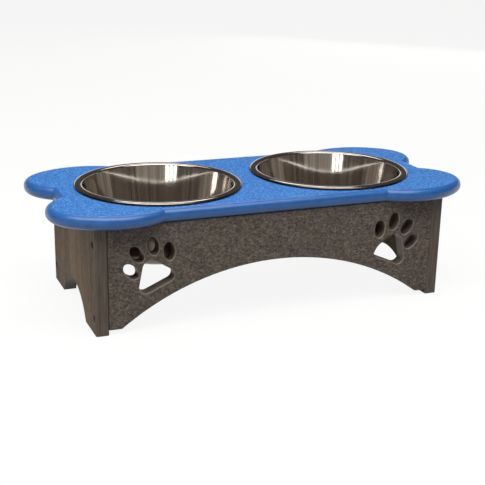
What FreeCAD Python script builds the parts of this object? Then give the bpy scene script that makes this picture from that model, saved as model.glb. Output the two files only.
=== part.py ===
"""Elevated pet feeder: a bone-shaped board on four panels, with two lift-out steel bowls.

Millimetres, +Z up. The origin is on the floor under the middle of the feeder, +X runs along
its length and -Y is the front.
"""
import FreeCAD, Part
import math
import os
import Sketcher
from FreeCAD import Placement, Rotation, Vector

SIZES = {
    # Base: four boards of one thickness, set round the bowls
    "base_height": 156.5,
    "panel_thickness": 19,
    "side_clearance": 2.8,
    "end_clearance": 4.3,
    "edge_round": 3,
    "cut_ease": 2,
    # Front and back panels: raised off the floor, with a wide arch between two short feet
    "panel_lift": 7.5,
    "panel_foot": 19.5,
    "arch_rise": 77.5,
    # End panels: an arched cut-out leaves two feet on the floor
    "end_foot": 61,
    "foot_arch_rise": 42.5,
    # Paw cut-out: its place on the panel, then its pad and toes from the pad's own middle
    "paw_inset": 87.8,
    "paw_middle_rise": 15.1,
    "paw_tilt": 23.5,
    "toe_length": 27,
    "toe_width": 16.4,
    "inner_toe_reach": 12.85,
    "inner_toe_rise": 40.1,
    "inner_toe_lean": 12,
    "outer_toe_reach": 30.25,
    "outer_toe_rise": 21.5,
    "outer_toe_lean": 19,
    "pad_shift": 3,
    "pad_crown_radius": 12.5,
    "pad_crown_rise": 11,
    "pad_corner_radius": 9.8,
    "pad_corner_reach": 17.5,
    "pad_corner_drop": 9.7,
    # Top board: a straight middle and four lobes, each of two nose arcs and two wider shoulder arcs
    "top_thickness": 20,
    "top_roundover": 9.5,
    "side_overhang": 5,
    "notch_overhang": 22.5,
    "lobe_overhang": 52.5,
    "lobe_proud": 17.2,
    "lobe_nose": 63,
    "shoulder_back": 31.5,
    "shoulder_inward": 32.7,
    # Bowls: tapered, with a rolled rim that rests on the board
    "bowl_gap": 32,
    "bowl_hole": 228,
    "bowl_play": 1,
    "bowl_depth": 100,
    "bowl_taper": 19,
    "bowl_corner": 24,
    "bowl_wall": 1,
    "rim_overlap": 11,
    "rim_height": 5,
    "rim_inner_roll": 4.8,
    "rim_outer_roll": 4.5,
    # Screws: one head and shank for all, two lengths
    "screw_head": 9,
    "screw_head_height": 3,
    "screw_shank": 4.2,
    "screw_point": 5,
    "screw_drive": 3,
    "screw_drive_depth": 1.8,
    "screw_play": 0.15,
    "corner_screw_length": 45,
    "upper_screw_drop": 24.5,
    "lower_screw_height": 24,
    "counterbore": 11,
    "counterbore_depth": 6,
    # Pockets in the inner faces, for the screws that hold the top board
    "pocket_screw_length": 28,
    "pocket_bore": 9.8,
    "pocket_seat": 14,
    "pocket_lean": 15,
    "long_pocket_reach": 35,
    "end_pocket_reach": 75,
}
# Sizes that follow from those: the bowls set the base, and the base sets the top board
FITTED = {
    "bowl_lip": "Sizes.bowl_hole / 2 - Sizes.bowl_play",
    "bowl_foot": "Fitted.bowl_lip - Sizes.bowl_taper",
    "bowl_under_top": "Fitted.bowl_lip - Sizes.bowl_taper * Sizes.top_thickness / Sizes.bowl_depth",
    "rim_radius": "Sizes.bowl_hole / 2 + Sizes.rim_overlap",
    "bowl_reach": "Fitted.rim_radius + Sizes.bowl_gap / 2",
    "panel_half_length": "Fitted.bowl_reach + Fitted.bowl_under_top + Sizes.end_clearance",
    "base_half_length": "Fitted.panel_half_length + Sizes.panel_thickness",
    "base_half_depth": "Fitted.bowl_under_top + Sizes.side_clearance + Sizes.panel_thickness",
    "arch_half_span": "Fitted.panel_half_length - Sizes.panel_foot",
    "foot_arch_half_span": "Fitted.base_half_depth - Sizes.end_foot",
    "foot_arch_radius": "(Fitted.foot_arch_half_span ^ 2 / Sizes.foot_arch_rise + Sizes.foot_arch_rise) / 2",
    "arch_radius": "(Fitted.arch_half_span ^ 2 + Sizes.arch_rise ^ 2) / (2 * Sizes.arch_rise)",
    "arch_centre": "Sizes.panel_lift + Sizes.arch_rise - Fitted.arch_radius",
    "paw_reach": "Fitted.base_half_length - Sizes.paw_inset",
    "paw_soffit": "Fitted.arch_centre + sqrt(Fitted.arch_radius ^ 2 - Fitted.paw_reach ^ 2)",
    "paw_height": "(Fitted.paw_soffit + Sizes.base_height) / 2 - Sizes.paw_middle_rise",
    "top_half_width": "Fitted.base_half_depth + Sizes.side_overhang",
    "notch_reach": "Fitted.base_half_length + Sizes.notch_overhang",
    "shoulder_offset": "sqrt(Sizes.shoulder_back ^ 2 + Sizes.shoulder_inward ^ 2)",
    "shoulder_radius": "Sizes.lobe_nose + Fitted.shoulder_offset",
    "blend_reach": "Sizes.shoulder_back * Fitted.shoulder_radius / Fitted.shoulder_offset",
    "blend_rise": "Sizes.shoulder_inward * Sizes.lobe_nose / Fitted.shoulder_offset",
    "lobe_reach": "Fitted.base_half_length + Sizes.lobe_overhang - Sizes.lobe_nose - Sizes.shoulder_back",
    "lobe_half_width": "Fitted.shoulder_radius - Sizes.shoulder_inward",
    "lobe_stagger": "Fitted.top_half_width + Sizes.lobe_proud - Fitted.lobe_half_width",
    "upper_screw_height": "Sizes.base_height - Sizes.upper_screw_drop",
    "corner_screw_reach": "Fitted.base_half_depth - Sizes.panel_thickness / 2",
    "screw_hole_radius": "Sizes.screw_shank / 2 + Sizes.screw_play",
    "pocket_inward": "Sizes.panel_thickness / 2 + Sizes.pocket_seat * sin(Sizes.pocket_lean)",
    "pocket_height": "Sizes.base_height - Sizes.pocket_seat * cos(Sizes.pocket_lean)",
}
TOLERANCE = 1e-5

doc = FreeCAD.newDocument("ElevatedPetFeeder")
sheet = doc.addObject("Spreadsheet::Sheet", "Sizes")
for row, (alias, size) in enumerate(SIZES.items(), 1):
    sheet.set(f"A{row}", alias)
    sheet.set(f"B{row}", str(size))
    sheet.setAlias(f"B{row}", alias)
fitted = doc.addObject("App::VarSet", "Fitted")
for name, expression in FITTED.items():
    fitted.addProperty("App::PropertyFloat", name)
    fitted.setExpression(name, expression)
doc.recompute()


def number(expression):
    """What an expression of the sizes comes to."""
    return float(sheet.evalExpression(expression))


def bind(target, **expressions):
    """Tie properties to the sizes; a double underscore stands for a dot in a property's name."""
    for name, expression in expressions.items():
        target.setExpression(name.replace("__", "."), expression)


def new_body(label):
    body = doc.addObject("PartDesign::Body", label)
    body.Label = label
    return body


def origin_plane(body, role):
    return next(plane for plane in body.Origin.OriginFeatures if plane.Role == role)


def new_sketch(body, name, role="XZ_Plane", offset=None, **expressions):
    """Sketch on one of the body's own planes, moved or turned on it where sizes are given."""
    sketch = body.newObject("Sketcher::SketchObject", name)
    sketch.AttachmentSupport = [(origin_plane(body, role), "")]
    sketch.MapMode = "FlatFace"
    if offset is not None:
        sketch.AttachmentOffset = offset
    bind(sketch, **{f"AttachmentOffset__{part}": size for part, size in expressions.items()})
    return sketch


def dimension(sketch, kind, *geometry, size):
    index = sketch.addConstraint(Sketcher.Constraint(kind, *geometry, number(size)))
    sketch.setExpression(f"Constraints[{index}]", size)


def pin(sketch, geometry, end, across, up):
    """Hold a point of the sketch at two sizes from the sketch's own origin."""
    dimension(sketch, "DistanceX", -1, 1, geometry, end, size=across)
    dimension(sketch, "DistanceY", -1, 1, geometry, end, size=up)


def end_at(sketch, edge, spot):
    """Which end of an edge, the first or the second, lies at a spot."""
    return 1 if sketch.getPoint(edge, 1).isEqual(spot, TOLERANCE) else 2


def draw_outline(sketch, corners, hollowed=None, rounded=None):
    """Closed anticlockwise outline; the edges after some corners are arcs, hollowed in or rounded out."""
    spots = [Vector(number(across), number(up), 0) for across, up in corners]
    arcs = {**(hollowed or {}), **(rounded or {})}
    edges = []
    for index, start in enumerate(spots):
        end = spots[(index + 1) % len(spots)]
        edge = Part.LineSegment(start, end)
        if index in arcs:
            chord = end - start
            radius = number(arcs[index])
            rise = radius - math.sqrt(radius ** 2 - chord.Length ** 2 / 4)
            inward = Vector(-chord.y, chord.x, 0).normalize()
            crown = (start + end) / 2 + inward * (rise if index in (hollowed or {}) else -rise)
            edge = Part.ArcOfCircle(start, crown, end)
        edges.append(sketch.addGeometry(edge, False))
    for index, (spot, corner) in enumerate(zip(spots, corners)):
        before = edges[index - 1]
        after = edges[index]
        joint = (before, end_at(sketch, before, spot), after, end_at(sketch, after, spot))
        sketch.addConstraint(Sketcher.Constraint("Coincident", *joint))
        pin(sketch, after, end_at(sketch, after, spot), *corner)
    for index, radius in arcs.items():
        dimension(sketch, "Radius", edges[index], size=radius)


def draw_oval(sketch, across, up, length, width, lean):
    """Ellipse whose long axis leans to the right of upright by an angle."""
    tip_across = f"{across} + {length} / 2 * sin({lean})"
    tip_up = f"{up} + {length} / 2 * cos({lean})"
    middle = Vector(number(across), number(up), 0)
    tip = Vector(number(tip_across), number(tip_up), 0)
    along = (tip - middle).normalize()
    side = middle + Vector(-along.y, along.x, 0) * number(width) / 2
    oval = sketch.addGeometry(Part.Ellipse(tip, side, middle), False)
    sketch.exposeInternalGeometry(oval)
    long_axis = oval + 1
    short_axis = oval + 2
    pin(sketch, oval, 3, across, up)
    pin(sketch, long_axis, end_at(sketch, long_axis, tip), tip_across, tip_up)
    dimension(sketch, "Distance", short_axis, size=width)


def draw_rounded_triangle(sketch, circles):
    """Three circles, given anticlockwise, wrapped by the lines that touch them."""
    rounds = [(Vector(number(x), number(y), 0), number(radius)) for x, y, radius in circles]
    normals = []
    for (centre, radius), (other, other_radius) in zip(rounds, rounds[1:] + rounds[:1]):
        along = other - centre
        slope = (radius - other_radius) / along.Length
        along.normalize()
        outward = Vector(along.y, -along.x, 0)
        normals.append(along * slope + outward * math.sqrt(1 - slope ** 2))
    arcs = []
    lines = []
    for index, (centre, radius) in enumerate(rounds):
        first = math.atan2(normals[index - 1].y, normals[index - 1].x)
        last = math.atan2(normals[index].y, normals[index].x)
        circle = Part.Circle(centre, Vector(0, 0, 1), radius)
        arcs.append(sketch.addGeometry(Part.ArcOfCircle(circle, first, last), False))
        other, other_radius = rounds[(index + 1) % len(rounds)]
        start = centre + normals[index] * radius
        end = other + normals[index] * other_radius
        lines.append(sketch.addGeometry(Part.LineSegment(start, end), False))
    for index, (x, y, radius) in enumerate(circles):
        pin(sketch, arcs[index], 3, x, y)
        dimension(sketch, "Radius", arcs[index], size=radius)
        sketch.addConstraint(Sketcher.Constraint("Tangent", arcs[index], 2, lines[index], 1))
        sketch.addConstraint(Sketcher.Constraint("Tangent", lines[index - 1], 2, arcs[index], 1))


def new_feature(body, kind, name, **settings):
    """Feature of a body with its plain settings."""
    feature = body.newObject(f"PartDesign::{kind}", name)
    for setting, value in settings.items():
        setattr(feature, setting, value)
    return feature


def turn(body, kind, name, corners):
    """Revolve an outline round the body's upright axis, to add or to cut."""
    section = new_sketch(body, f"{name}_section")
    draw_outline(section, corners)
    feature = new_feature(body, kind, name, Profile=section, Angle=360)
    feature.ReferenceAxis = (section, ["V_Axis"])


def mirror_sideways(body, feature):
    """The same cut again on the other side of the body's middle."""
    mirrored = new_feature(body, "Mirrored", f"{feature.Name}_mirrored", Originals=[feature])
    mirrored.MirrorPlane = (origin_plane(body, "YZ_Plane"), [""])
    body.Tip = mirrored
    return mirrored


def round_edges(body, name, edges, radius):
    """Round the chosen edges of the body as it stands."""
    doc.recompute()
    base = body.Tip
    chosen = []
    for index, edge in enumerate(base.Shape.Edges, 1):
        if any(edge.isSame(wanted) for wanted in edges(base.Shape)):
            chosen.append(f"Edge{index}")
    fillet = new_feature(body, "Fillet", name, Base=(base, chosen))
    bind(fillet, Radius=radius)
    return fillet


def outer_face(shape):
    """The show face of a panel, which lies on its own y = 0 plane."""
    flat = [face for face in shape.Faces if abs(face.BoundBox.YMax) < TOLERANCE]
    return max(flat, key=lambda face: face.Area)


def cut_edges(shape):
    """Edges of the show face that a router eases: the cut-outs and the arch."""
    face = outer_face(shape)
    edges = [edge for wire in face.Wires if not wire.isSame(face.OuterWire) for edge in wire.Edges]
    arches = [edge for edge in face.OuterWire.Edges if isinstance(edge.Curve, Part.Circle)]
    return edges + arches


def upright_edges(shape):
    """Edges that run the panel's whole height at its two sides."""
    return [edge for edge in shape.Edges if abs(edge.BoundBox.ZLength - shape.BoundBox.ZLength) < TOLERANCE]


def draw_screw_holes(sketch, across):
    """Circles for the upper and the lower corner screw, one above the other."""
    radius = "Fitted.screw_hole_radius"
    for height in ("Fitted.upper_screw_height", "Sizes.lower_screw_height"):
        spot = Vector(number(across), number(height), 0)
        circle = sketch.addGeometry(Part.Circle(spot, Vector(0, 0, 1), number(radius)), False)
        pin(sketch, circle, 3, across, height)
        dimension(sketch, "Radius", circle, size=radius)


def cut_screw_pocket(body, reach):
    """Slanted pocket in the inner face and its pilot up through the top edge, one each side."""
    sketch = new_sketch(
        body, f"{body.Label}_pocket_section", "YZ_Plane",
        Placement(Vector(), Rotation(Vector(0, 0, 1), number("Sizes.pocket_lean"))),
        Base__x="Fitted.pocket_inward", Base__y="Fitted.pocket_height", Base__z=reach,
        Rotation__Angle="Sizes.pocket_lean * 1 deg",
    )
    bore = "Sizes.pocket_bore / 2"
    pilot = "Fitted.screw_hole_radius"
    length = "Sizes.panel_thickness / sin(Sizes.pocket_lean)"
    draw_outline(sketch, [
        ("0", f"-{length}"),
        (bore, f"-{length}"),
        (bore, "0"),
        (pilot, "0"),
        (pilot, "2 * Sizes.pocket_seat"),
        ("0", "2 * Sizes.pocket_seat"),
    ])
    groove = new_feature(body, "Groove", f"{body.Label}_pocket", Profile=sketch, Angle=360)
    groove.ReferenceAxis = (sketch, ["V_Axis"])
    mirror_sideways(body, groove)


def stand_panel(panel, side):
    """Turn a panel, or its screws, from its own frame to its side of the base."""
    turns = {"front": 0, "right": 90, "back": 180, "left": 270}
    panel.Placement = Placement(Vector(), Rotation(Vector(0, 0, 1), turns[side]))
    if side in ("front", "back"):
        sign = "-" if side == "front" else ""
        bind(panel, Placement__Base__y=f"{sign}Fitted.base_half_depth")
    else:
        sign = "-" if side == "left" else ""
        bind(panel, Placement__Base__x=f"{sign}Fitted.base_half_length")


def make_long_panel(side):
    """Front or back panel: arched board between the end panels, with two paw cut-outs."""
    body = new_body(f"{side}_panel")
    outline = new_sketch(body, f"{side}_outline")
    draw_outline(outline, [
        ("-Fitted.panel_half_length", "Sizes.panel_lift"),
        ("-Fitted.arch_half_span", "Sizes.panel_lift"),
        ("Fitted.arch_half_span", "Sizes.panel_lift"),
        ("Fitted.panel_half_length", "Sizes.panel_lift"),
        ("Fitted.panel_half_length", "Sizes.base_height"),
        ("-Fitted.panel_half_length", "Sizes.base_height"),
    ], hollowed={1: "Fitted.arch_radius"})
    board = new_feature(body, "Pad", f"{side}_board", Profile=outline, Reversed=True)
    bind(board, Length="Sizes.panel_thickness")

    paw = new_sketch(
        body, f"{side}_paw_outline", "XZ_Plane",
        Placement(Vector(), Rotation(Vector(0, 0, -1), number("Sizes.paw_tilt"))),
        Base__x="Fitted.paw_reach", Base__y="Fitted.paw_height", Rotation__Angle="Sizes.paw_tilt * 1 deg",
    )
    for sign in ("-", ""):
        for toe in ("inner", "outer"):
            draw_oval(paw, f"{sign}Sizes.{toe}_toe_reach", f"Sizes.{toe}_toe_rise", "Sizes.toe_length",
                      "Sizes.toe_width", f"{sign}Sizes.{toe}_toe_lean")
    corner_radius = "Sizes.pad_corner_radius"
    draw_rounded_triangle(paw, [
        ("Sizes.pad_shift", "Sizes.pad_crown_rise", "Sizes.pad_crown_radius"),
        ("Sizes.pad_shift - Sizes.pad_corner_reach", "-Sizes.pad_corner_drop", corner_radius),
        ("Sizes.pad_shift + Sizes.pad_corner_reach", "-Sizes.pad_corner_drop", corner_radius),
    ])
    cut = new_feature(body, "Pocket", f"{side}_paw", Profile=paw, Type="ThroughAll", Midplane=True)
    mirror_sideways(body, cut)
    round_edges(body, f"{side}_eased_cuts", cut_edges, "Sizes.cut_ease")

    drilling = new_sketch(body, f"{side}_pilot_circles", "YZ_Plane", Base__z="Fitted.panel_half_length")
    draw_screw_holes(drilling, "Sizes.panel_thickness / 2")
    pilots = new_feature(body, "Pocket", f"{side}_pilots", Profile=drilling)
    grip = "Sizes.panel_thickness - Sizes.counterbore_depth"
    bind(pilots, Length=f"Sizes.corner_screw_length - ({grip}) + Sizes.screw_play")
    mirror_sideways(body, pilots)
    cut_screw_pocket(body, "Sizes.long_pocket_reach")
    stand_panel(body, side)
    return body


def make_end_panel(side):
    """End panel: full-depth board with an arched foot and counterbored screw holes."""
    body = new_body(f"{side}_end_panel")
    outline = new_sketch(body, f"{side}_outline")
    draw_outline(outline, [
        ("-Fitted.base_half_depth", "0"),
        ("-Fitted.foot_arch_half_span", "0"),
        ("Fitted.foot_arch_half_span", "0"),
        ("Fitted.base_half_depth", "0"),
        ("Fitted.base_half_depth", "Sizes.base_height"),
        ("-Fitted.base_half_depth", "Sizes.base_height"),
    ], hollowed={1: "Fitted.foot_arch_radius"})
    board = new_feature(body, "Pad", f"{side}_board", Profile=outline, Reversed=True)
    bind(board, Length="Sizes.panel_thickness")
    round_edges(body, f"{side}_eased_edges", upright_edges, "Sizes.edge_round")

    drilling = new_sketch(body, f"{side}_screw_circles")
    draw_screw_holes(drilling, "Fitted.corner_screw_reach")
    doc.recompute()
    holes = new_feature(body, "Hole", f"{side}_screw_holes", Profile=drilling, DepthType="ThroughAll")
    holes.HoleCutType = "Counterbore"
    bind(holes, Diameter="2 * Fitted.screw_hole_radius", HoleCutDiameter="Sizes.counterbore",
         HoleCutDepth="Sizes.counterbore_depth")
    mirror_sideways(body, holes)
    cut_screw_pocket(body, "Sizes.end_pocket_reach")
    stand_panel(body, side)
    return body


def make_screw(label, length):
    """Flat-headed screw on the Z axis, its head's seat at z = 0 and its point up."""
    body = new_body(label)
    turn(body, "Revolution", f"{label}_turned", [
        ("0", "-Sizes.screw_head_height"),
        ("Sizes.screw_head / 2", "-Sizes.screw_head_height"),
        ("Sizes.screw_head / 2", "0"),
        ("Sizes.screw_shank / 2", "0"),
        ("Sizes.screw_shank / 2", f"{length} - Sizes.screw_point"),
        ("0", length),
    ])
    socket = new_sketch(body, f"{label}_socket_outline", "XY_Plane", Base__z="-Sizes.screw_head_height")
    half = "Sizes.screw_drive / 2"
    draw_outline(socket, [(f"-{half}", f"-{half}"), (half, f"-{half}"), (half, half), (f"-{half}", half)])
    drive = new_feature(body, "Pocket", f"{label}_socket", Profile=socket, Reversed=True)
    bind(drive, Length="Sizes.screw_drive_depth")
    return body


def place_copies(label, source, kind, spots, tilt):
    """Copies of one piece in a panel's own frame, as one group of separate solids."""
    copies = []
    for index, (across, inward, up) in enumerate(spots, 1):
        copy = doc.addObject("App::Link", f"{label}_{index}")
        copy.setLink(source)
        copy.Placement = Placement(Vector(), Rotation(Vector(1, 0, 0), number(tilt)))
        bind(copy, Placement__Base__x=across, Placement__Base__y=inward, Placement__Base__z=up,
             Placement__Rotation__Angle=f"({tilt}) * 1 deg")
        copies.append(copy)
    group = doc.addObject("Part::Compound", label)
    group.Label = label
    group.Links = copies
    stand_panel(group, kind)
    return group


def rim_edges(shape):
    """Edges round the top and bottom faces of a slab."""
    return [edge for edge in shape.Edges if edge.BoundBox.ZLength < TOLERANCE]


def make_lobe():
    """One lobe of the top board with its edge rounded over, at the right back."""
    body = new_body("lobe")
    outline = new_sketch(body, "lobe_outline", "XY_Plane", Base__x="Fitted.lobe_reach",
                         Base__y="Fitted.lobe_stagger", Base__z="Sizes.base_height")
    reach = "Fitted.blend_reach"
    rise = "Fitted.blend_rise"
    nose = "Sizes.lobe_nose"
    shoulder = "Fitted.shoulder_radius"
    corners = [(reach, f"-{rise}"), (reach, rise), (f"-{reach}", rise), (f"-{reach}", f"-{rise}")]
    draw_outline(outline, corners, rounded={0: nose, 1: shoulder, 2: nose, 3: shoulder})
    slab = new_feature(body, "Pad", "lobe_slab", Profile=outline)
    bind(slab, Length="Sizes.top_thickness")
    round_edges(body, "lobe_roundover", rim_edges, "Sizes.top_roundover")
    return body


def make_slab(name, half_length, half_width, rounded):
    """Plain length of board in the middle of the top, with two opposite sides rounded over."""
    body = new_body(name)
    outline = new_sketch(body, f"{name}_outline", "XY_Plane", Base__z="Sizes.base_height")
    draw_outline(outline, [
        (f"-{half_length}", f"-{half_width}"), (half_length, f"-{half_width}"),
        (half_length, half_width), (f"-{half_length}", half_width),
    ])
    slab = new_feature(body, "Pad", f"{name}_board", Profile=outline)
    bind(slab, Length="Sizes.top_thickness")

    def rounded_edges(shape):
        return [edge for edge in rim_edges(shape) if getattr(edge.BoundBox, f"{rounded}Length") > TOLERANCE]

    round_edges(body, f"{name}_roundover", rounded_edges, "Sizes.top_roundover")
    return body


def make_mirror(source, normal):
    mirrored = doc.addObject("Part::Mirroring", f"{source.Name}_mirrored")
    mirrored.Source = source
    mirrored.Normal = normal
    return mirrored


def make_top_board(pilots):
    """Bone-shaped board: its sides, notched ends and four lobes in one piece, holed for bowls and screws."""
    back_right = make_lobe()
    front_right = make_mirror(back_right, Vector(0, 1, 0))
    left_pair = [make_mirror(lobe, Vector(1, 0, 0)) for lobe in (back_right, front_right)]
    bone = doc.addObject("Part::MultiFuse", "bone")
    sides = make_slab("sides", "Fitted.lobe_reach", "Fitted.top_half_width", "X")
    ends = make_slab("ends", "Fitted.notch_reach", "Fitted.lobe_stagger", "Y")
    bone.Shapes = [sides, ends, back_right, front_right] + left_pair
    bone.Refine = True
    holes = []
    for side, sign in (("left", "-"), ("right", "")):
        hole = doc.addObject("Part::Cylinder", f"{side}_bowl_hole")
        bind(hole, Radius="Sizes.bowl_hole / 2", Height="Sizes.base_height + 2 * Sizes.top_thickness",
             Placement__Base__x=f"{sign}Fitted.bowl_reach")
        holes.append(hole)
    tools = doc.addObject("Part::Compound", "top_cuts")
    tools.Links = holes + pilots
    board = doc.addObject("Part::Cut", "top_board")
    board.Label = "top_board"
    board.Base = bone
    board.Tool = tools
    return board


def ring(radius, height):
    """Picks the round edge of a turned piece that has this radius at this height."""
    def edges(shape):
        circles = [edge for edge in shape.Edges if isinstance(edge.Curve, Part.Circle)]
        level = [edge for edge in circles if abs(edge.Curve.Center.z - number(height)) < TOLERANCE]
        return [edge for edge in level if abs(edge.Curve.Radius - number(radius)) < TOLERANCE]

    return edges


def make_bowl(side, sign):
    """Drawn steel bowl: tapered wall, round bottom corner and a hollow rolled rim on the board."""
    body = new_body(f"{side}_bowl")
    wall = "Sizes.bowl_wall"
    lip = "Fitted.bowl_lip"
    foot = "Fitted.bowl_foot"
    floor = "-Sizes.bowl_depth"
    rim = "Fitted.rim_radius"
    crown = "Sizes.rim_height"
    turn(body, "Revolution", f"{side}_bowl_blank", [
        ("0", floor), (foot, floor), (lip, "0"), (rim, "0"), (rim, crown), ("0", crown),
    ])
    inner_floor = f"{wall} {floor}"
    inner_foot = f"{foot} - {wall}"
    inner_lip = f"{lip} - {wall}"
    turn(body, "Groove", f"{side}_bowl_inside", [
        ("0", inner_floor), (inner_foot, inner_floor), (inner_lip, "0"), (inner_lip, crown), ("0", crown),
    ])
    inner_rim = f"{rim} - {wall}"
    inner_crown = f"{crown} - {wall}"
    turn(body, "Groove", f"{side}_bowl_rim_hollow", [
        (lip, "0"), (inner_rim, "0"), (inner_rim, inner_crown), (lip, inner_crown),
    ])
    rounds = {
        "inner_corner": (inner_foot, inner_floor, f"Sizes.bowl_corner - {wall}"),
        "outer_corner": (foot, floor, "Sizes.bowl_corner"),
        "rim_inner_bend": (lip, inner_crown, f"Sizes.rim_inner_roll - {wall}"),
        "rim_inner_roll": (inner_lip, crown, "Sizes.rim_inner_roll"),
        "rim_outer_bend": (inner_rim, inner_crown, f"Sizes.rim_outer_roll - {wall}"),
        "rim_outer_roll": (rim, crown, "Sizes.rim_outer_roll"),
    }
    for name, (radius, height, size) in rounds.items():
        round_edges(body, f"{side}_bowl_{name}", ring(radius, height), size)
    bind(body, Placement__Base__x=f"{sign}Fitted.bowl_reach",
         Placement__Base__z="Sizes.base_height + Sizes.top_thickness")
    return body


parts = [make_long_panel("front"), make_long_panel("back"), make_end_panel("left"), make_end_panel("right")]

corner_screw = make_screw("corner_screw", "Sizes.corner_screw_length")
pocket_screw = make_screw("pocket_screw", "Sizes.pocket_screw_length")
pilot = doc.addObject("Part::Cylinder", "pocket_pilot")
bind(pilot, Radius="Fitted.screw_hole_radius", Height="Sizes.pocket_screw_length + Sizes.screw_play")

# Corner screws: two through each end of each end panel, square to it
for side, fore, aft in (("left", "", "-"), ("right", "-", "")):
    for end, sign in (("front", fore), ("back", aft)):
        places = [(f"{sign}Fitted.corner_screw_reach", "Sizes.counterbore_depth", height)
                  for height in ("Fitted.upper_screw_height", "Sizes.lower_screw_height")]
        parts.append(place_copies(f"{side}_{end}_corner_screws", corner_screw, side, places, "-90"))

# Pocket screws: two from each panel, slanting up and outwards into the top board
pilots = []
for side, reach in (("front", "long"), ("back", "long"), ("left", "end"), ("right", "end")):
    places = [(f"{sign}Sizes.{reach}_pocket_reach", "Fitted.pocket_inward", "Fitted.pocket_height")
              for sign in ("-", "")]
    parts.append(place_copies(f"{side}_pocket_screws", pocket_screw, side, places, "Sizes.pocket_lean"))
    pilots.append(place_copies(f"{side}_pilots_in_top", pilot, side, places, "Sizes.pocket_lean"))

parts.append(make_top_board(pilots))
parts += [make_bowl("left", "-"), make_bowl("right", "")]
doc.recompute()

for item in doc.Objects:
    if {"Invalid", "Error"} & set(item.State):
        raise RuntimeError(f"{item.Label} did not compute: {item.State}")
cutting = {f"PartDesign::{kind}" for kind in ("Pocket", "Groove", "Hole", "Mirrored")}
for item in doc.Objects:
    if item.TypeId in cutting and item.Shape.Volume >= item.BaseFeature.Shape.Volume:
        raise RuntimeError(f"{item.Label} cuts nothing")
for part in parts:
    if part.Shape.isNull() or not part.Shape.isValid():
        raise RuntimeError(f"{part.Label} has no valid shape")

os.makedirs("parts", exist_ok=True)
for part in parts:
    part.Shape.exportStep(f"parts/{part.Label}.step")
    print(part.Label, len(part.Shape.Solids), round(part.Shape.Volume), part.Shape.BoundBox)
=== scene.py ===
import math

import bpy
from mathutils import Matrix, Vector


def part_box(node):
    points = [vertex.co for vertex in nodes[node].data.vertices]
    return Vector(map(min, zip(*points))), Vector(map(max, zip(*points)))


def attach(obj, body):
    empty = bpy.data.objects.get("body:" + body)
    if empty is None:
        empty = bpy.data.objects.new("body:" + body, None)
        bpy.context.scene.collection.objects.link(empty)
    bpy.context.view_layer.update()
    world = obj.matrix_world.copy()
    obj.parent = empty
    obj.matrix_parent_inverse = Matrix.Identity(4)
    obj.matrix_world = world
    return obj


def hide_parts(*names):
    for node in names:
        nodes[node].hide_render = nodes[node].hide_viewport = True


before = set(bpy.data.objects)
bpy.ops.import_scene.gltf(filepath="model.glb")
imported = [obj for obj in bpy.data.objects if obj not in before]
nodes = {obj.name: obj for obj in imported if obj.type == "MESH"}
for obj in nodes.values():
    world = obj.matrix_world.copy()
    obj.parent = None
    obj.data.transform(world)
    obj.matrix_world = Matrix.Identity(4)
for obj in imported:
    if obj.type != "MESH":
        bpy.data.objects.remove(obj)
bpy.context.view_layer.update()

# Base panels
# Four boards of dark grey recycled plastic lumber, screwed together at the corners. The broad faces
# keep the pebbled skin of the extruded sheet; sawn and routed edges are smoother, with tool lines.
GREY_SKIN = ((0.060, 0.050, 0.042, 1), (0.137, 0.117, 0.099, 1), (0.270, 0.240, 0.206, 1))
# The end panels are the same grey lumber; their browner skin is painted warm light from the left end
WARM_LIT_GREY_SKIN = ((0.066, 0.047, 0.028, 1), (0.156, 0.113, 0.070, 1), (0.282, 0.212, 0.136, 1))
GREY_SAWN = (0.164, 0.136, 0.110, 1)
GREY_SAWN_LINE = (0.086, 0.071, 0.058, 1)
# Lighter colour of eased edges: partly wear, partly a painted highlight on the lips of the cut-outs
GREY_WORN_AND_HIGHLIGHT = (0.300, 0.285, 0.262, 1)
BLACK = (0, 0, 0, 1)
WHITE = (1, 1, 1, 1)
GREY_STOPS = (0.39, 0.50, 0.62)
SAWN_STOPS = (0.35, 0.62)
WORN_AND_HIGHLIGHT_STOPS = (0.30, 0.50, 0.86, 0.97)
SKIN_START = 0.95
SKIN_FULL = 0.995
FLECK_SHARE = 0.4
BUMP_DEPTH = 0.0008


def new_material(name):
    """A principled material and its shader, with add to make a node and wire to join one to the shader.

    add takes a socket by its name, with _ for a space, or by its number, as in i0."""
    material = bpy.data.materials.new(name)
    material.use_nodes = True
    tree = material.node_tree
    shader = tree.nodes["Principled BSDF"]

    def add(kind, settings=None, **wires):
        node = tree.nodes.new(f"ShaderNode{kind}")
        for setting, value in (settings or {}).items():
            setattr(node, setting, value)
        for socket, value in wires.items():
            numbered = socket[1:].isdigit()
            entry = node.inputs[int(socket[1:]) if numbered else socket.replace("_", " ")]
            if isinstance(value, bpy.types.NodeSocket):
                tree.links.new(value, entry)
            else:
                entry.default_value = value
        return node

    def wire(source, socket):
        tree.links.new(source, shader.inputs[socket])

    return material, shader, add, wire


def ramp_colours(ramp, places, colours):
    """Give a colour ramp its stops."""
    elements = ramp.color_ramp.elements
    while len(elements) < len(places):
        elements.new(0.5)
    for element, place, colour in zip(elements, places, colours):
        element.position = place
        element.color = colour


def squareness(add, across):
    """1 where a surface is square to the direction across, as a board's broad faces are, 0 along it."""
    normal = add("NewGeometry").outputs["Normal"]
    facing = add("VectorMath", {"operation": "DOT_PRODUCT"}, i0=normal, i1=across)
    return add("Math", {"operation": "ABSOLUTE"}, i0=facing.outputs["Value"]).outputs[0]


def skin_mask(add, square):
    """White on the two broad faces of a board and black on its edges."""
    return add("MapRange", Value=square, From_Min=SKIN_START, From_Max=SKIN_FULL).outputs[0]


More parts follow.
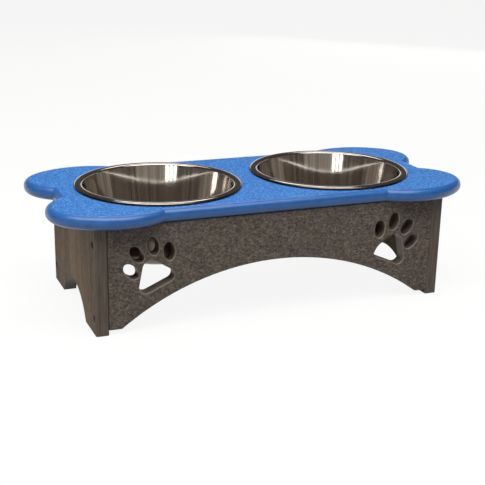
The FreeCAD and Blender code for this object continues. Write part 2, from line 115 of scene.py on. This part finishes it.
def grey_board(name, shades, across, pebble, bands, banding, grain, wear):
    """Plastic lumber: across is square to its broad faces; pebble, bands and grain scale its patterns, and
    wear lightens its eased edges: partly rubbed wear, partly a painted highlight.
    """
    material, shader, add, wire = new_material(name)
    place = add("TexCoord").outputs["Object"]
    pebbled = add("Mapping", Vector=place, Scale=pebble)
    mottle = add("TexNoise", Vector=pebbled.outputs[0], Scale=1, Detail=2, Roughness=0.6, Distortion=0.8)
    fleck = add("TexNoise", Vector=place, Scale=780, Detail=2, Roughness=0.7)
    mixed = add("Mix", {"data_type": "FLOAT"}, Factor=FLECK_SHARE, i2=mottle.outputs[0], i3=fleck.outputs[0])
    banded = add("Mapping", Vector=place, Scale=bands)
    streak = add("TexNoise", Vector=banded.outputs[0], Scale=1, Detail=4, Roughness=0.7)
    shade = add("Mix", {"data_type": "FLOAT"}, Factor=banding, i2=mixed.outputs[0], i3=streak.outputs[0])
    skin = add("ValToRGB", Fac=shade.outputs[0])
    ramp_colours(skin, GREY_STOPS, shades)

    stretched = add("Mapping", Vector=place, Scale=grain)
    lines = add("TexNoise", Vector=stretched.outputs[0], Scale=1, Detail=3, Roughness=0.6)
    sawn = add("ValToRGB", Fac=lines.outputs[0])
    ramp_colours(sawn, SAWN_STOPS, (GREY_SAWN_LINE, GREY_SAWN))

    # Eased edges lean between face and edge, and are made lighter: partly rubbed wear, partly a painted
    # highlight on the lips of the cut-outs
    square = squareness(add, across)
    eased = add("ValToRGB", Fac=square)
    ramp_colours(eased, WORN_AND_HIGHLIGHT_STOPS, (BLACK, WHITE, WHITE, BLACK))
    rubbed_and_highlit = add("Math", {"operation": "MULTIPLY"}, i0=eased.outputs[0], i1=wear)
    edge = add("Mix", {"data_type": "RGBA"}, Factor=rubbed_and_highlit.outputs[0], A=sawn.outputs[0], B=GREY_WORN_AND_HIGHLIGHT)

    mask = skin_mask(add, square)
    colour = add("Mix", {"data_type": "RGBA"}, Factor=mask, A=edge.outputs["Result"], B=skin.outputs[0])
    wire(colour.outputs["Result"], "Base Color")
    rough = add("MapRange", Value=mask, To_Min=0.40, To_Max=0.68)
    wire(rough.outputs[0], "Roughness")
    height = add("Mix", {"data_type": "FLOAT"}, Factor=mask, i2=lines.outputs[0], i3=mixed.outputs[0])
    strength = add("MapRange", Value=mask, To_Min=0.08, To_Max=0.55)
    bump = add("Bump", Strength=strength.outputs[0], Distance=BUMP_DEPTH, Height=height.outputs[0])
    wire(bump.outputs[0], "Normal")
    shader.inputs["Specular IOR Level"].default_value = 0.25
    return material


def dress(piece, material):
    """Give a piece its one finish."""
    piece.data.materials.clear()
    piece.data.materials.append(material)


long_panel_finish = grey_board(
    "grey_long_panel", GREY_SKIN, across=(0, 1, 0), pebble=(240, 300, 340),
    bands=(30, 30, 40), banding=0.10, grain=(90, 420, 90), wear=0.65)
end_panel_finish = grey_board(
    "grey_end_panel", WARM_LIT_GREY_SKIN, across=(1, 0, 0), pebble=(300, 300, 60),
    bands=(34, 34, 4), banding=0.42, grain=(420, 420, 22), wear=0.1)
for panel in ("front_panel", "back_panel"):
    dress(nodes[panel], long_panel_finish)
for panel in ("left_end_panel", "right_end_panel"):
    dress(nodes[panel], end_panel_finish)

# Screws
# Square-drive steel screws: two through each corner of the base, sunk in counterbores, and two
# slanting up from a pocket in each panel into the top board. All have a dark weatherproof coating.
COATED_STEEL = (0.060, 0.055, 0.050, 1)
WORN_STEEL = (0.140, 0.132, 0.122, 1)
COATING_STOPS = (0.45, 0.75)


def screw_finish():
    """Dark coating, worn through to bare steel in small spots."""
    material, shader, add, wire = new_material("coated_screw_steel")
    place = add("TexCoord").outputs["Object"]
    wear = add("TexNoise", Vector=place, Scale=900, Detail=3)
    colour = add("ValToRGB", Fac=wear.outputs[0])
    ramp_colours(colour, COATING_STOPS, (COATED_STEEL, WORN_STEEL))
    wire(colour.outputs[0], "Base Color")
    shader.inputs["Metallic"].default_value = 0.9
    shader.inputs["Roughness"].default_value = 0.42
    return material


screw_steel = screw_finish()
for name, node in nodes.items():
    if name.endswith("_screws"):
        dress(node, screw_steel)

# Top board
# Bone-shaped board of blue recycled plastic lumber, rounded over all round with a router.
# The flat faces keep the pebbled skin; the rounded edge is bare plastic with a satin shine.
BLUE_DARK = (0.007, 0.076, 0.310, 1)
BLUE_MIDDLE = (0.020, 0.157, 0.520, 1)
BLUE_LIGHT = (0.112, 0.355, 0.790, 1)
BLUE_ROUTED = (0.018, 0.132, 0.440, 1)
BLUE_ROUTED_LINE = (0.012, 0.108, 0.380, 1)
BLUE_STOPS = (0.385, 0.50, 0.63)
UPWARDS = (0, 0, 1)


def blue_board():
    """Pebbled blue skin, with a plain, burnished edge."""
    material, shader, add, wire = new_material("blue_board")
    place = add("TexCoord").outputs["Object"]
    mottle = add("TexNoise", Vector=place, Scale=330, Detail=2, Roughness=0.6, Distortion=0.4)
    fleck = add("TexNoise", Vector=place, Scale=800, Detail=2, Roughness=0.7)
    mixed = add("Mix", {"data_type": "FLOAT"}, Factor=FLECK_SHARE, i2=mottle.outputs[0], i3=fleck.outputs[0])
    skin = add("ValToRGB", Fac=mixed.outputs[0])
    ramp_colours(skin, BLUE_STOPS, (BLUE_DARK, BLUE_MIDDLE, BLUE_LIGHT))

    lines = add("TexNoise", Vector=place, Scale=60, Detail=4, Roughness=0.6)
    routed = add("ValToRGB", Fac=lines.outputs[0])
    ramp_colours(routed, SAWN_STOPS, (BLUE_ROUTED_LINE, BLUE_ROUTED))

    mask = skin_mask(add, squareness(add, UPWARDS))
    colour = add("Mix", {"data_type": "RGBA"}, Factor=mask, A=routed.outputs[0], B=skin.outputs[0])
    wire(colour.outputs["Result"], "Base Color")
    rough = add("MapRange", Value=mask, To_Min=0.40, To_Max=0.70)
    wire(rough.outputs[0], "Roughness")
    strength = add("MapRange", Value=mask, To_Min=0.02, To_Max=0.35)
    bump = add("Bump", Strength=strength.outputs[0], Distance=BUMP_DEPTH, Height=mixed.outputs[0])
    wire(bump.outputs[0], "Normal")
    burnished = add("MapRange", Value=mask, To_Min=0.5, To_Max=0.0)
    wire(burnished.outputs[0], "Coat Weight")
    shader.inputs["Coat Roughness"].default_value = 0.25
    shader.inputs["Specular IOR Level"].default_value = 0.40
    return material


dress(nodes["top_board"], blue_board())

# Bowls
# Two drawn stainless steel bowls with a rolled rim that rests on the board. Each is drawn down from
# the outer edge of its rim, ring by ring, then given the sheet's thickness. They lift straight out.
# The wall and the rim are one steel: the wall's lighter colour is painted light, the rim's darker one a
# painted dark reflection
WALL_STEEL = (0.86, 0.82, 0.775, 1)
# Darker streaks in the steel's colour are painted reflections of the room
WALL_REFLECTION_STREAK = (0.60, 0.565, 0.525, 1)
RIM_STEEL = (0.50, 0.47, 0.44, 1)
RIM_REFLECTION_STREAK = (0.36, 0.335, 0.31, 1)
# The outside's dark brown colour is painted shade, for the bowl's underside beneath the feeder
SHADED_SATIN_STEEL = (0.20, 0.155, 0.12, 1)
SATIN_STEEL_LINE = (0.14, 0.11, 0.085, 1)
# Painted contact shadow along the rim's outer edge
SHADOW_EDGE_STEEL = (0.055, 0.050, 0.048, 1)
EDGE_STEEL_SPOT = (0.030, 0.028, 0.028, 1)
REFLECTION_STREAK_STOPS = (0.36, 0.60)
REFLECTION_STREAK_SPREAD = (26, 26, 2)
SATIN_STOPS = (0.35, 0.65)
SATIN_SPREAD = (30, 30, 1500)
SPOT_STOPS = (0.40, 0.60)
SHEET = 0.001
RIM_RADIUS = 0.125
RIM_WIDTH = 0.013
RIM_HEIGHT = 0.005
RIM_LIFT = 0.0016
RIM_CURL = math.radians(28)
DARK_EDGE = 0.0012
BOWL_DEPTH = 0.099
FOOT_RADIUS = 0.093
CORNER_RADIUS = 0.023
RIM_STEPS = 18
CORNER_STEPS = 10
WALL_STEPS = 6
FLOOR_STEPS = 5
ROUND_STEPS = 160
SMOOTH_ANGLE = math.radians(50)
RIM_SLOT = 2
EDGE_SLOT = 3


def bowl_section():
    """Inner side of the bowl, from the rim's outer edge to the middle: radius and height of rings."""
    lip = RIM_RADIUS - RIM_WIDTH
    lean = math.atan2(lip - FOOT_RADIUS, BOWL_DEPTH)
    section = []
    for step in range(RIM_STEPS + 1):
        turn = -RIM_CURL + (math.pi + RIM_CURL) * step / RIM_STEPS
        radius = RIM_RADIUS - RIM_WIDTH / 2 * (1 - math.cos(turn))
        section.append((radius, RIM_LIFT + (RIM_HEIGHT - RIM_LIFT) * math.sin(turn)))
    # The corner's round touches the wall and the floor
    reach = CORNER_RADIUS * math.tan((math.pi / 2 - lean) / 2)
    wall_foot = (FOOT_RADIUS + reach * math.sin(lean), reach * math.cos(lean) - BOWL_DEPTH)
    for step in range(1, WALL_STEPS):
        share = step / WALL_STEPS
        section.append((lip + (wall_foot[0] - lip) * share, wall_foot[1] * share))
    centre = (FOOT_RADIUS - reach, CORNER_RADIUS - BOWL_DEPTH)
    for step in range(CORNER_STEPS + 1):
        turn = -lean - (math.pi / 2 - lean) * step / CORNER_STEPS
        away = CORNER_RADIUS * math.cos(turn)
        section.append((centre[0] + away, centre[1] + CORNER_RADIUS * math.sin(turn)))
    for step in range(1, FLOOR_STEPS + 1):
        section.append((centre[0] * (1 - step / (FLOOR_STEPS + 1)), -BOWL_DEPTH))
    return section


def draw_bowl(name, node):
    """Bowl in place of a CAD solid, centred on it and seated at its rim."""
    low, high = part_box(node)
    middle = (low + high) / 2
    centre = Vector((middle.x, middle.y, high.z - RIM_HEIGHT))
    section = bowl_section()
    bpy.ops.object.select_all(action="DESELECT")
    radius, height = section[0]
    start = (centre.x, centre.y, centre.z + height)
    bpy.ops.mesh.primitive_circle_add(vertices=ROUND_STEPS, radius=radius, location=start)
    bowl = bpy.context.object
    bowl.name = name
    bpy.ops.object.transform_apply(location=True, rotation=True, scale=True)
    bpy.ops.object.mode_set(mode="EDIT")
    bpy.ops.mesh.select_all(action="SELECT")
    for (radius, height), (next_radius, next_height) in zip(section, section[1:]):
        bpy.ops.mesh.extrude_edges_move(TRANSFORM_OT_translate={"value": (0, 0, next_height - height)})
        grow = next_radius / radius
        bpy.ops.transform.resize(value=(grow, grow, 1), center_override=centre)
    bpy.ops.mesh.extrude_edges_move(TRANSFORM_OT_translate={"value": (0, 0, 0)})
    bpy.ops.mesh.merge(type="CENTER")
    bpy.ops.mesh.select_all(action="SELECT")
    bpy.ops.mesh.normals_make_consistent(inside=False)
    bpy.ops.object.mode_set(mode="OBJECT")
    for steel in (lit_wall_steel, outer_steel, shaded_rim_steel, edge_steel):
        bowl.data.materials.append(steel)
    # The outermost band of the rim gets the painted contact shadow; the rest of the rim gets the rim steel
    for face in bowl.data.polygons:
        reach = (face.center - centre).xy.length
        if reach > RIM_RADIUS - DARK_EDGE:
            face.material_index = EDGE_SLOT
        elif reach > RIM_RADIUS - RIM_WIDTH:
            face.material_index = RIM_SLOT
    sheet = bowl.modifiers.new("sheet", "SOLIDIFY")
    sheet.thickness = SHEET
    sheet.offset = -1
    sheet.material_offset = 1
    bpy.ops.object.modifier_apply(modifier="sheet")
    bpy.ops.object.shade_smooth_by_angle(angle=SMOOTH_ANGLE)
    return bowl


def polished_steel(name, bright, streak):
    """Mirror polish of the inside and the rim; the darker upright streaks in its colour are painted
    reflections of the room, and its roughness follows them.
    """
    material, shader, add, wire = new_material(name)
    facing = add("NewGeometry").outputs["Normal"]
    spread = add("Mapping", Vector=facing, Scale=REFLECTION_STREAK_SPREAD)
    reflection_streaks = add("TexNoise", Vector=spread.outputs[0], Scale=1, Detail=4, Roughness=0.65)
    colour = add("ValToRGB", Fac=reflection_streaks.outputs[0])
    ramp_colours(colour, REFLECTION_STREAK_STOPS, (streak, bright))
    wire(colour.outputs[0], "Base Color")
    rough = add("MapRange", Value=reflection_streaks.outputs[0], To_Min=0.04, To_Max=0.13)
    wire(rough.outputs[0], "Roughness")
    tangent = add("Tangent", {"direction_type": "RADIAL", "axis": "Z"})
    wire(tangent.outputs[0], "Tangent")
    shader.inputs["Metallic"].default_value = 1
    shader.inputs["Anisotropic"].default_value = 0.5
    return material


def shaded_satin_steel():
    """Duller finish of the outside, with the fine rings of the polishing wheel; its dark brown colour is
    painted shade from under the feeder.
    """
    material, shader, add, wire = new_material("shaded_satin_steel")
    place = add("TexCoord").outputs["Object"]
    stretched = add("Mapping", Vector=place, Scale=SATIN_SPREAD)
    rings = add("TexNoise", Vector=stretched.outputs[0], Scale=1, Detail=3)
    colour = add("ValToRGB", Fac=rings.outputs[0])
    ramp_colours(colour, SATIN_STOPS, (SATIN_STEEL_LINE, SHADED_SATIN_STEEL))
    wire(colour.outputs[0], "Base Color")
    rough = add("MapRange", Value=rings.outputs[0], To_Min=0.26, To_Max=0.36)
    wire(rough.outputs[0], "Roughness")
    shader.inputs["Metallic"].default_value = 1
    return material


def shadowed_rim_edge_steel():
    """Painted contact shadow: a dark, dull band where the rim is rolled under and rests on the board."""
    material, shader, add, wire = new_material("shadowed_rim_edge_steel")
    place = add("TexCoord").outputs["Object"]
    spots = add("TexNoise", Vector=place, Scale=400, Detail=3)
    colour = add("ValToRGB", Fac=spots.outputs[0])
    ramp_colours(colour, SPOT_STOPS, (EDGE_STEEL_SPOT, SHADOW_EDGE_STEEL))
    wire(colour.outputs[0], "Base Color")
    shader.inputs["Metallic"].default_value = 1
    shader.inputs["Roughness"].default_value = 0.4
    return material


lit_wall_steel = polished_steel("polished_wall_steel", WALL_STEEL, WALL_REFLECTION_STREAK)
shaded_rim_steel = polished_steel("polished_rim_steel", RIM_STEEL, RIM_REFLECTION_STREAK)
outer_steel = shaded_satin_steel()
edge_steel = shadowed_rim_edge_steel()
for side in ("left", "right"):
    bowl = draw_bowl(f"{side}_steel_bowl", f"{side}_bowl")
    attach(bowl, f"bowl_at_{side}")
    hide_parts(f"{side}_bowl")

# Camera
# Stands where the photograph was taken from: yaw turns it right of the feeder's depth, pitch down.
# Its place, turn and lens were fitted to the edges of the boards and the rims of the bowls.
CAMERA_PLACE = (-0.590377, -1.429137, 0.565652)
CAMERA_YAW = 0.386
CAMERA_PITCH = 0.328
CAMERA_ROLL = -0.019
CAMERA_LENS = 76.6
CAMERA_SENSOR = 36
CAMERA_SHIFT = (0.00836, 0.03837)

camera_data = bpy.data.cameras.new("camera")
camera_data.lens = CAMERA_LENS
camera_data.sensor_width = CAMERA_SENSOR
camera_data.shift_x, camera_data.shift_y = CAMERA_SHIFT
camera = bpy.data.objects.new("camera", camera_data)
flat = math.cos(CAMERA_PITCH)
forward = Vector((math.sin(CAMERA_YAW) * flat, math.cos(CAMERA_YAW) * flat, -math.sin(CAMERA_PITCH)))
level = Vector((math.cos(CAMERA_YAW), -math.sin(CAMERA_YAW), 0))
down = forward.cross(level)
right = level * math.cos(CAMERA_ROLL) + down * math.sin(CAMERA_ROLL)
up = level * math.sin(CAMERA_ROLL) - down * math.cos(CAMERA_ROLL)
turn = Matrix((right, up, -forward)).transposed().to_4x4()
camera.matrix_world = Matrix.Translation(CAMERA_PLACE) @ turn
bpy.context.scene.collection.objects.link(camera)
bpy.context.scene.camera = camera
bpy.context.scene.view_settings.view_transform = "Standard"

# Floor and backdrop
# A pale floor with a low, part-round backdrop ahead of the camera, and round both a taller surround
# that closes the room for a low camera and lights nothing. One matt material serves all three.
FLOOR_SIZE = 240
FLOOR_COLOUR = (0.95, 0.95, 0.95, 1)
FLOOR_BOUNCE = (0.24, 0.24, 0.24, 1)
FLOOR_LIFT = 0.90
RING_SIDES = 96
BACKDROP_RADIUS = 12
BACKDROP_HEIGHT = 2
BACKDROP_END_COSINE = 0.35
SURROUND_RADIUS = 13
SURROUND_HEIGHT = 7


def pale_ground():
    """White where it is seen or mirrored, with shadows kept; darker where it throws light back."""
    material, shader, add, wire = new_material("pale_floor")
    shader.inputs["Roughness"].default_value = 0.9
    shader.inputs["Specular IOR Level"].default_value = 0.0
    path = add("LightPath").outputs
    glossy = path["Is Glossy Ray"]
    mirrored = add("Math", {"operation": "MAXIMUM"}, i0=glossy, i1=path["Is Transmission Ray"])
    seen = add("Math", {"operation": "MAXIMUM"}, i0=path["Is Camera Ray"], i1=mirrored.outputs[0])
    tint = add("Mix", {"data_type": "RGBA"}, Factor=seen.outputs[0], A=FLOOR_BOUNCE, B=FLOOR_COLOUR)
    wire(tint.outputs["Result"], "Base Color")
    lift = add("Math", {"operation": "MULTIPLY"}, i0=seen.outputs[0], i1=FLOOR_LIFT)
    glow = add("Emission", Strength=1.0)
    mixed = add("MixShader", i0=lift.outputs[0], i1=shader.outputs[0], i2=glow.outputs[0])
    output = material.node_tree.nodes["Material Output"]
    material.node_tree.links.new(mixed.outputs[0], output.inputs["Surface"])
    return material


def start_ring(name, radius):
    """A bare circle round the feeder, to be raised into a wall."""
    bpy.ops.object.select_all(action="DESELECT")
    bpy.ops.mesh.primitive_circle_add(vertices=RING_SIDES, radius=radius)
    bpy.context.object.name = name
    return bpy.context.object


def raise_ring(height):
    """Draw what is left of the ring up into a wall."""
    bpy.ops.object.mode_set(mode="EDIT")
    bpy.ops.mesh.select_all(action="SELECT")
    bpy.ops.mesh.extrude_edges_move(TRANSFORM_OT_translate={"value": (0, 0, height)})
    bpy.ops.object.mode_set(mode="OBJECT")


pale = pale_ground()
bpy.ops.object.select_all(action="DESELECT")
bpy.ops.mesh.primitive_plane_add(size=FLOOR_SIZE)
floor = bpy.context.object
floor.name = "floor"

backdrop = start_ring("backdrop", BACKDROP_RADIUS)
ahead = Vector((math.sin(CAMERA_YAW), math.cos(CAMERA_YAW), 0))
bpy.ops.object.mode_set(mode="EDIT")
bpy.ops.mesh.select_all(action="DESELECT")
bpy.ops.object.mode_set(mode="OBJECT")
for corner in backdrop.data.vertices:
    corner.select = corner.co.dot(ahead) < BACKDROP_END_COSINE * BACKDROP_RADIUS
bpy.ops.object.mode_set(mode="EDIT")
bpy.ops.mesh.delete(type="VERT")
raise_ring(BACKDROP_HEIGHT)

surround = start_ring("surround", SURROUND_RADIUS)
raise_ring(SURROUND_HEIGHT)
surround.visible_glossy = False
surround.visible_diffuse = False

for stage_piece in (floor, backdrop, surround):
    dress(stage_piece, pale)

# Lamps
# Plain soft light: a broad softbox overhead towards the front left, a warm one at the left end, a high
# one behind for the rims, a faint fill in front, a stronger one behind, and panes the bowls mirror.
SOFTBOXES = {
    "overhead_softbox": ((-0.35, -0.62, 1.9), (-0.1, -0.05, 0.1), (2.6, 1.4), 51, (1, 0.985, 0.96)),
    "front_fill": ((-0.6, -3.4, 0.9), (0, 0, 0.1), (3.6, 1.6), 2.5, (1, 0.90, 0.80)),
    "back_softbox": ((0.5, 1.5, 2.3), (0, 0, 0.1), (1.6, 0.8), 13, (1, 0.95, 0.88)),
    "back_fill": ((2.1, 2.2, 0.9), (0, 0, 0.1), (2.6, 1.6), 24, (1, 0.95, 0.88)),
    "left_softbox": ((-2.6, -0.3, 1.1), (-0.25, 0, 0.08), (2.2, 1.6), 12, (1, 0.79, 0.53)),
}
UNMIRRORED = ("back_fill", "left_softbox")
WINDOW_PLACE = Vector((-1.944, -2.285, 0.72))
WINDOW_STEP = Vector((0.254, -0.216, 0))
WINDOW_AIM = (0, 0, 0.17)
PANE_SIZE = (0.20, 0.52)
PANE_WATTS = 1.2
PANE_COLOUR = (1, 0.98, 0.95)
WORLD_COLOUR = (1, 0.86, 0.72, 1)
WORLD_LIGHT = 0.10

for number, pane in enumerate(("left", "middle", "right"), -1):
    place = WINDOW_PLACE + WINDOW_STEP * number
    SOFTBOXES[f"window_pane_{pane}"] = (place, WINDOW_AIM, PANE_SIZE, PANE_WATTS, PANE_COLOUR)
for name, (place, aim, size, watts, colour) in SOFTBOXES.items():
    light = bpy.data.lights.new(name, "AREA")
    light.shape = "RECTANGLE"
    light.size, light.size_y = size
    light.energy = watts
    light.color = colour
    lamp = bpy.data.objects.new(name, light)
    lamp.location = place
    lamp.visible_glossy = name not in UNMIRRORED
    lamp.rotation_euler = (Vector(aim) - Vector(place)).to_track_quat("-Z", "Y").to_euler()
    bpy.context.scene.collection.objects.link(lamp)

world = bpy.data.worlds.new("studio")
world.use_nodes = True
bpy.context.scene.world = world
background = world.node_tree.nodes["Background"]
background.inputs["Color"].default_value = WORLD_COLOUR
background.inputs["Strength"].default_value = WORLD_LIGHT
